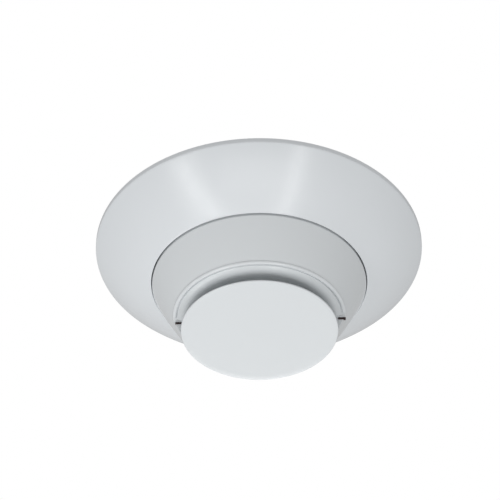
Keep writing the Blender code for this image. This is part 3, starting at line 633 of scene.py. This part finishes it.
def cone_section():
    """The cover's collar and cone, from its inner top edge down to just above the lip."""
    lip = (LIP_RADIUS, LIP_Z)
    shoulder = (SHOULDER_RADIUS, CONE_TOP_Z)
    corners = [
        (COVER_INNER_RADIUS, COVER_TOP - COLLAR_RETURN, 0),
        (COVER_INNER_RADIUS, COVER_TOP, COLLAR_FILLET),
        (COVER_RADIUS, COVER_TOP, COLLAR_FILLET),
        (COVER_RADIUS, SHOULDER_Z, SHOULDER_FILLET),
        (SHOULDER_RADIUS, SHOULDER_Z, SHOULDER_FILLET),
        (*shoulder, COLLAR_FILLET),
    ]
    corners += [(*point, 0) for point in bulged(shoulder, lip, CONE_BULGE, CONE_POINTS)]
    return rounded(corners, closed=False)


def bead_section():
    """The bead round the lip, down to the fine line between it and the shelf."""
    centre = Vector(BEAD_CENTRE)
    along = (Vector((SHOULDER_RADIUS, CONE_TOP_Z)) - Vector((LIP_RADIUS, LIP_Z))).normalized()
    above = Vector((LIP_RADIUS, LIP_Z)) + along * BEAD_RUN_IN
    points = [tuple(above), (LIP_RADIUS + BEAD_FOOT[0], LIP_Z + BEAD_FOOT[1])]
    for k in range(BEAD_POINTS):
        angle = math.radians(BEAD_START - k * BEAD_SWEEP / (BEAD_POINTS - 1))
        spoke = Vector((math.cos(angle), math.sin(angle))) * BEAD_RADIUS
        points.append(tuple(centre + spoke))
    points += [(LINE_RADIUS, LINE_Z), (SHELF_OUTER_RADIUS, LINE_Z)]
    return points


def plain_lip_section(count):
    """The lip without its bead, with as many points as the bead's section."""
    corners = [(*PLAIN_LIP_TOP, 0), PLAIN_LIP_CORNER, (SHELF_OUTER_RADIUS, SHELF_Z, 0)]
    return rounded(corners, closed=False, steps=count - 3)


def cheek_section(count):
    """A cheek's outer face from the lip down to the disc."""
    start, end = Vector(PLAIN_LIP_TOP), Vector(CHEEK_FOOT)
    shares = [i / (count - 1) for i in range(count)]
    return [tuple(start.lerp(end, share)) for share in shares]


def rolled_shelf_section():
    """The shelf inside the fine line: a low roll that falls back towards the neck."""
    points = [(radius, SHELF_Z + rise) for radius, rise in ROLL]
    return points + [(SHELF_INNER_RADIUS, points[-1][1])]


def flat_section(radius, z):
    """As many points as the rolled shelf, straight inwards from a radius."""
    count = len(ROLL) + 1
    shares = [i / count for i in range(1, count + 1)]
    return [(radius + (SHELF_INNER_RADIUS - radius) * share, z) for share in shares]


def back_section(depth):
    """The cover's inside: shelf, pocket of this depth behind a cheek, and inner cone."""
    floor = SHELF_TOP_Z + (POCKET["z"] - SHELF_TOP_Z) * depth
    return [
        (SHELF_INNER_RADIUS, SHELF_TOP_Z),
        (POCKET["inner"], SHELF_TOP_Z),
        (POCKET["inner"], floor),
        (POCKET["outer"] - POCKET["lean"], floor),
        (POCKET["outer"], SHELF_TOP_Z),
        (INNER_LIP_RADIUS, SHELF_TOP_Z),
        (COVER_INNER_RADIUS, INNER_CONE_Z),
    ]


def into_cheek(angle):
    """Degrees past the nearest inlet end, positive inside a cheek."""
    turned = [(angle - edge + 180) % 360 - 180 for edge in (*FRONT_INLET, *REAR_INLET)]
    signed = [-turned[0], turned[1], -turned[2], turned[3]]
    nearest = min(range(4), key=lambda i: abs(turned[i]))
    return signed[nearest]


def column_angles():
    """Even angles all round, with close ones at the inlets' ends."""
    angles = set(np.round(np.arange(0, 360, FINE_STEP), 4))
    close = [np.linspace(-half, half, count) for half, count in (WALL_COLUMNS, FADE_COLUMNS)]
    for edge in (*FRONT_INLET, *REAR_INLET):
        for offset in np.concatenate(close):
            angles.add(round(float((edge + offset) % 360), 4))
    kept = []
    for angle in sorted(angles):
        if not kept or angle - kept[-1] > COLUMN_GAP:
            kept.append(angle)
    return kept


def make_cover():
    """The front cover, skinned through sections that change from inlet to cheek."""
    cone = cone_section()
    bead = bead_section()
    plain = plain_lip_section(len(bead))
    cheek = cheek_section(len(bead))
    roll = rolled_shelf_section()
    flat = flat_section(SHELF_OUTER_RADIUS, SHELF_Z)
    foot = flat_section(*CHEEK_FOOT)
    columns = []
    for angle in column_angles():
        inside = into_cheek(angle)
        weight = smooth_step(inside, -END_WALL_HALF, END_WALL_HALF)
        bead_weight = smooth_step(-inside, *BEAD_FADE)
        roll_weight = smooth_step(-inside, *ROLL_FADE)
        lip = blend_sections(blend_sections(plain, bead, bead_weight), cheek, weight)
        under = blend_sections(blend_sections(flat, roll, roll_weight), foot, weight)
        pocket = smooth_step(inside, POCKET["wall"] - POCKET["ramp"], POCKET["wall"] + POCKET["ramp"])
        columns.append(at_angle(cone + lip + under + back_section(pocket), angle))
    shape = grid_shape(columns)
    made = new_object("front_cover", mesh_from("front_cover", shape, COVER_CREASE))
    finish_piece(made, "cover_plastic", "cover", "head_cover")


def make_cap():
    """The thin round disc in front, very slightly crowned."""
    radius, top, bottom = CAP_HIGH.x, CAP_HIGH.z, CAP_LOW.z
    corners = [
        (AXIS_GAP, top, 0),
        (radius - CAP_EDGE["back"], top, CAP_FILLET),
        (radius, top - CAP_EDGE["rim"], CAP_FILLET),
        (radius, bottom + CAP_EDGE["front"], CAP_FRONT_FILLET),
    ]
    corners += [(radius * share, bottom + rise, 0) for share, rise in CAP_CROWN]
    corners += [(AXIS_GAP, bottom, 0)]
    made = new_object("cap_disc", lathe("cap_disc", rounded(corners, closed=False), closed=False))
    finish_piece(made, "cover_plastic", "cover", "front_cap")


def make_cage():
    """The ribbed neck between shelf and disc."""
    flange, top, foot = CAGE_HIGH.x, CAGE_HIGH.z, CAGE_LOW.z
    small, large = CAGE_FILLETS
    under_flange, under_collar = top - CAGE_FLANGE_HEIGHT, top - CAGE_COLLAR_HEIGHT
    over_hoop = foot + CAGE_HOOP_HEIGHT
    collar = [
        (CAGE_INNER, top, small),
        (flange, top, large),
        (flange, under_flange, small),
        (CAGE_OUTER, under_flange, small),
        (CAGE_OUTER, under_collar, large),
        (CAGE_INNER, under_collar, large),
    ]
    hoop = [
        (CAGE_INNER, over_hoop, large),
        (CAGE_OUTER, over_hoop, large),
        (CAGE_OUTER, foot, small),
        (CAGE_INNER, foot, small),
    ]
    shapes = [shape_of(lathe("collar", rounded(collar))), shape_of(lathe("hoop", rounded(hoop)))]
    rib = CAGE_RIB
    heights = foot + rib["low"], top - rib["high"]
    for index in range(CAGE_RIBS):
        angle = 360 * index / CAGE_RIBS
        start, end = angle - rib["half"], angle + rib["half"]
        shapes.append(sector_shape(CAGE_INNER, CAGE_OUTER, start, end, *heights, rib["edge"]))
    made = new_object("vent_neck", mesh_from("vent_neck", gather(shapes)))
    finish_piece(made, "cover_plastic", "cover", "vent_cage")


def guide_stretch(part, outer, end, way, low, high, edge):
    """A stretch of a light guide, between angles counted from the inlet's end into its cheek."""
    start, stop = end + way * part["from"], end + way * part["to"]
    return sector_shape(part["inner"], outer, start, stop, low, high, edge)


def make_guides():
    """The light guides, each with a smoked window that stands just proud of the end wall."""
    riser, bar, window = GUIDE_RISER, GUIDE_BAR, WINDOW
    for side, end, way, outer in GUIDE_ENDS:
        low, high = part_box(f"light_guide_{side}")
        riser_low, bar_low = low.z + riser["rise"], low.z + bar["rise"]
        shapes = [
            guide_stretch(riser, riser["outer"], end, way, riser_low, high.z, GUIDE_EDGE),
            guide_stretch(bar, bar["outer"], end, way, bar_low, bar["high"], GUIDE_EDGE),
            guide_stretch(window, outer, end, way, window["low"], window["high"], window["edge"]),
        ]
        name = f"guide_{side}"
        made = new_object(name, mesh_from(name, gather(shapes)))
        finish_piece(made, "smoked_lens", "cover", f"light_guide_{side}")


# ---------------------------------------------------------------- other nodes

# Degrees between faces that count as one, that stay creased and that get a rounded edge.
FLAT_ANGLE = 1
NODE_CREASE = 30
BEVEL_ANGLE = 32
# Widths of the rounded edges: thin strips and small parts, moulded and turned parts, board, glass.
THIN_EDGE = 0.0001
SOFT_EDGE = 0.0002
BOARD_EDGE = 0.00008
GLASS_EDGE = 0.00005


def refine(node, slot_name, body, width, segments=2):
    """A copy of a CAD node with clean faces and small rounded edges."""
    shape = bmesh.new()
    shape.from_mesh(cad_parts[node].data)
    bmesh.ops.remove_doubles(shape, verts=shape.verts, dist=NODE_WELD)
    flat = math.radians(FLAT_ANGLE)
    bmesh.ops.dissolve_limit(
        shape, angle_limit=flat, verts=shape.verts, edges=shape.edges, delimit=set()
    )
    made = new_object(f"{node}_fine", mesh_from(node, shape, NODE_CREASE))
    bevel = made.modifiers.new("edges", "BEVEL")
    bevel.width = width
    bevel.segments = segments
    bevel.limit_method = "ANGLE"
    bevel.angle_limit = math.radians(BEVEL_ANGLE)
    bevel.harden_normals = True
    finish_piece(made, slot_name, body, node)


def make_small_parts():
    """Contacts, clamps, screws, blades and the parts on the board."""
    for number in range(1, 5):
        refine(f"terminal_contact_{number}", "contact_metal", "base", THIN_EDGE)
        refine(f"terminal_clamp_{number}", "screw_steel", "base", SOFT_EDGE)
        refine(f"terminal_screw_{number}", "screw_steel", "base", SOFT_EDGE)
        refine(f"contact_blade_{number}", "contact_metal", "head", THIN_EDGE)
    for number in range(1, 4):
        refine(f"board_screw_{number}", "screw_steel", "head", SOFT_EDGE)
    refine("tamper_lever", "base_plastic", "tamper_lever", SOFT_EDGE)
    refine("head_chassis", "chassis_plastic", "head", SOFT_EDGE)
    refine("circuit_board", "board_laminate", "head", BOARD_EDGE, segments=1)
    refine("microcontroller", "dark_plastic", "head", THIN_EDGE)
    refine("capacitor", "can_aluminium", "head", THIN_EDGE)
    refine("reed_switch", "component_glass", "head", THIN_EDGE)
    for name in ("tens", "ones"):
        refine(f"address_switch_{name}", "dark_plastic", "head", SOFT_EDGE)
        refine(f"address_dial_{name}", "dial_plastic", f"dial_{name}", SOFT_EDGE)
    refine("thermistor", "component_glass", "head", GLASS_EDGE)
    refine("thermistor_post", "dark_plastic", "head", SOFT_EDGE)
    for side in ("left", "right"):
        refine(f"led_{side}", "smoked_lens", "head", THIN_EDGE)


# ---------------------------------------------------------------- details

DIGITS = 10
NUMERAL_SIZE = 0.0017
NUMERAL_RING = 0.0068
NUMERAL_HEIGHT = 0.00012
CHIP_SIZE = (0.0016, 0.0008, 0.0005)
CHIP_PITCH = 0.0019
CHIP_EDGE = 0.00006
# Shares of a chip's length that its body takes and at which its ends' middles are.
CHIP_BODY_SHARE = 0.66
CHIP_END_PLACE = 0.42
# Shares of a chip's width, length and height that each soldered end takes.
CHIP_END = (1.04, 0.17, 1.06)
CHIP_END_EDGE = 0.00004
# Rows of chips on the board: first chip's place, the row's direction in degrees and its chips.
CHIP_ROWS = (
    ((-0.0210, -0.0190), 0, 7),
    ((-0.0240, -0.0150), 90, 5),
    ((-0.0070, -0.0160), 90, 6),
    ((0.0040, -0.0250), 90, 5),
    ((0.0220, -0.0120), 45, 6),
    ((0.0200, 0.0080), 90, 8),
    ((-0.0240, 0.0080), 90, 8),
    ((-0.0070, 0.0270), 0, 8),
)


def box_shape(size, centre, turn, edge):
    """A block with rounded edges, turned about Z by this many degrees, at this centre."""
    half_x, half_y = size[0] / 2, size[1] / 2
    outline = [(half_x, half_y), (-half_x, half_y), (-half_x, -half_y), (half_x, -half_y)]
    shape = slab_shape([outline], centre[2] - size[2] / 2, centre[2] + size[2] / 2, edge)
    spin = Matrix.Rotation(math.radians(turn), 4, "Z")
    place = Matrix.Translation((centre[0], centre[1], 0)) @ spin
    bmesh.ops.transform(shape, matrix=place, verts=shape.verts)
    return shape


def make_chips():
    """Rows of small resistors and capacitors on the board's front, with their soldered ends."""
    length, width, height = CHIP_SIZE
    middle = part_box("circuit_board")[0].z - height / 2
    bodies, ends = [], []
    for (x, y), turn, count in CHIP_ROWS:
        c, s = math.cos(math.radians(turn)), math.sin(math.radians(turn))
        for index in range(count):
            centre = (x + c * CHIP_PITCH * index, y + s * CHIP_PITCH * index, middle)
            bodies.append(box_shape((width, length * CHIP_BODY_SHARE, height), centre, turn, CHIP_EDGE))
            for side in (-1, 1):
                reach = side * length * CHIP_END_PLACE
                end = (centre[0] - s * reach, centre[1] + c * reach, middle)
                size = (width * CHIP_END[0], length * CHIP_END[1], height * CHIP_END[2])
                ends.append(box_shape(size, end, turn, CHIP_END_EDGE))
    body = new_object("chip_bodies", mesh_from("chip_bodies", gather(bodies)))
    finish_piece(body, "dark_plastic", "head")
    end = new_object("chip_ends", mesh_from("chip_ends", gather(ends)))
    finish_piece(end, "can_aluminium", "head")


def numeral_shape(text, place, turn, low):
    """A raised numeral that reads from above, at a place in plan."""
    curve = bpy.data.curves.new("numeral", "FONT")
    curve.body = text
    curve.size = NUMERAL_SIZE
    curve.align_x = "CENTER"
    curve.align_y = "CENTER"
    curve.extrude = NUMERAL_HEIGHT / 2
    curve.resolution_u = 3
    guide = new_object("numeral", curve)
    bpy.context.view_layer.update()
    evaluated = guide.evaluated_get(bpy.context.evaluated_depsgraph_get())
    shape = shape_of(bpy.data.meshes.new_from_object(evaluated))
    bpy.data.objects.remove(guide)
    bpy.data.curves.remove(curve)
    bmesh.ops.remove_doubles(shape, verts=shape.verts, dist=NUMERAL_WELD)
    place = Matrix.Translation((*place, low + NUMERAL_HEIGHT / 2)) @ Matrix.Rotation(turn, 4, "Z")
    bmesh.ops.transform(shape, matrix=place, verts=shape.verts)
    return shape


def make_numerals():
    """The numerals 0 to 9 round each address dial, raised on the chassis."""
    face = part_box("head_chassis")[1].z
    shapes = []
    for name in ("tens", "ones"):
        low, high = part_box(f"address_dial_{name}")
        centre = (low + high) / 2
        for digit in range(DIGITS):
            angle = math.radians(90 - 360 * digit / DIGITS)
            across, up = NUMERAL_RING * math.cos(angle), NUMERAL_RING * math.sin(angle)
            place = (centre.x + across, centre.y + up)
            shapes.append(numeral_shape(str(digit), place, angle - math.pi / 2, face))
    made = new_object("dial_numerals", mesh_from("dial_numerals", gather(shapes)))
    finish_piece(made, "dark_plastic", "head")


# ---------------------------------------------------------------- stage

# Camera: degrees below the ceiling and of roll, metres from the origin, lens and sensor in
# millimetres, and a sideways shift as a share of the frame's width.
CAMERA_PITCH = 40.86
CAMERA_DISTANCE = 1.100
CAMERA_ROLL = -0.51
CAMERA_LENS = 166.11
CAMERA_SHIFT = -0.0178
SENSOR_WIDTH = 36
FLOOR_Z = -1.40
FLOOR_HALF = 7.0
FLOOR_CELLS = 8
FLOOR_COLOUR = (0.82, 0.83, 0.83)
FLOOR_ROUGHNESS = 0.7
FLOOR_DRIFT = 0.01
# The surround's strength as light; seen directly it is plain white.
SURROUND_LIGHT = 0.462
# Lights: name, the directions of its two ends, its distance, its width and its radiance.
LIGHTS = (
    ("left_strip", (-0.27, -0.01, -0.95), (-0.69, -0.51, -0.60), 1.1, 0.13, 3.1),
    ("left_glow", (-0.35, 0.02, -0.93), (-0.66, -0.52, -0.60), 1.1, 0.30, 1.3),
    ("near_glow", (-0.02, 0.0, -1.0), (-0.06, -0.65, -0.76), 1.1, 0.50, 0.45),
    ("right_strip", (0.130, 0.04, -0.976), (0.43, -0.80, -0.60), 1.1, 0.10, 4.7),
    ("front_fill", (0.0, -0.643, -0.766), (0.0, -0.342, -0.94), 1.3, 0.90, 0.84),
    ("back_fill", (0.0, 0.978, -0.208), (0.0, 0.848, -0.53), 1.3, 0.45, 2.9),
    ("back_left_fill", (-0.455, 0.455, -0.766), (-0.242, 0.242, -0.94), 1.3, 0.45, 2.4),
    ("top_box", (0.0, -0.5, 1.6), (0.0, 0.5, 1.6), 1.7, 2.4, 0.8),
)


def make_camera():
    """A long lens below the ceiling, looking up at the detector."""
    camera = bpy.data.cameras.new("camera")
    camera.lens = CAMERA_LENS
    camera.sensor_width = SENSOR_WIDTH
    camera.shift_x = CAMERA_SHIFT
    camera.clip_start = 0.05
    camera.dof.use_dof = False
    holder = bpy.data.objects.new("camera", camera)
    bpy.context.scene.collection.objects.link(holder)
    pitch = math.radians(CAMERA_PITCH)
    away = Vector((0, -math.cos(pitch), -math.sin(pitch)))
    roll = Matrix.Rotation(math.radians(CAMERA_ROLL), 3, "Z")
    aim = (-away).to_track_quat("-Z", "Y").to_matrix() @ roll
    holder.matrix_world = Matrix.Translation(away * CAMERA_DISTANCE) @ aim.to_4x4()
    bpy.context.scene.camera = holder


def make_light(name, first, last, reach, width, radiance):
    """A soft strip that faces the detector, between two directions from it and at this distance."""
    start, end = Vector(first).normalized() * reach, Vector(last).normalized() * reach
    middle = (start + end) / 2
    back = middle.normalized()
    across = (end - start).cross(back).normalized()
    light = bpy.data.lights.new(name, "AREA")
    light.shape = "RECTANGLE"
    light.size, light.size_y = width, (end - start).length
    light.energy = radiance * math.pi * light.size * light.size_y
    holder = bpy.data.objects.new(name, light)
    bpy.context.scene.collection.objects.link(holder)
    axes = Matrix((across, back.cross(across), back)).transposed()
    holder.matrix_world = Matrix.Translation(middle) @ axes.to_4x4()
    holder.visible_camera = False


def make_world():
    """A plain white surround that gives a weaker even light."""
    world = bpy.data.worlds.new("surround")
    world.use_nodes = True
    tree = world.node_tree
    back = tree.nodes["Background"]
    path = add(tree, "ShaderNodeLightPath").outputs["Is Camera Ray"]
    strength = spread(tree, path, SURROUND_LIGHT, 1.0, 0.0, 1.0)
    tree.links.new(strength, back.inputs["Strength"])
    back.inputs["Color"].default_value = (1.0, 1.0, 1.0, 1.0)
    bpy.context.scene.world = world
    bpy.context.scene.view_settings.view_transform = "Standard"


def make_floor():
    """A pale floor far below the detector, as a very large plane with a soft mottle."""
    shape = bmesh.new()
    bmesh.ops.create_grid(shape, x_segments=FLOOR_CELLS, y_segments=FLOOR_CELLS, size=FLOOR_HALF)
    bmesh.ops.translate(shape, verts=shape.verts, vec=(0, 0, FLOOR_Z))
    floor = new_object("floor", mesh_from("floor", shape))
    paint = moulded_plastic("floor_paint", FLOOR_COLOUR, FLOOR_ROUGHNESS, FLOOR_DRIFT)
    floor.data.materials.append(paint)


def make_studio():
    """Camera, lights, surround and floor."""
    make_camera()
    make_world()
    make_floor()
    for light in LIGHTS:
        make_light(*light)


make_base()
make_cover()
make_cap()
make_cage()
make_guides()
make_small_parts()
make_chips()
make_numerals()
make_studio()
